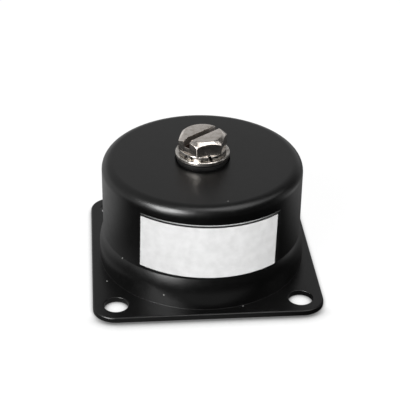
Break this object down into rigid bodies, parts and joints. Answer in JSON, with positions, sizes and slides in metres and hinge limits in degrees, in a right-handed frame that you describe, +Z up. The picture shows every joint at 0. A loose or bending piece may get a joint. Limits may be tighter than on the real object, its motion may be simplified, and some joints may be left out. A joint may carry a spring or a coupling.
{
  "type": "rubber anti-vibration mount",
  "caption": "Cup shaped rubber anti-vibration mount with a square bolting flange, a slotted hexagon screw on spring and flat washers at the top, and a blank foil label.",
  "frame": {"origin": "centre of the square flange's underside, on the screw's axis", "axes": "+Z up along the screw, away from the mounting face; +X and +Y along the flange's sides; the label faces -Y"},
  "size_m": [0.05, 0.05, 0.0317],
  "materials": {
    "black_paint": "semi-matte black paint",
    "plated_plate": "dull zinc plated sheet",
    "rubber": "matte moulded",
    "core_steel": "turned and zinc plated",
    "washer_plating": "bright nickel plated",
    "screw_plating": "bright nickel plated",
    "foil": "satin silver foil"
  },
  "bodies": {
    "root": {"housing": "black_paint", "base_plate": "plated_plate", "load_rubber": "rubber", "load_plate": "plated_plate", "core": "core_steel", "rebound_rubber": "rubber", "flat_washer": "washer_plating", "spring_washer": "washer_plating", "screw": "screw_plating", "label": "foil"}
  },
  "joints": []
}
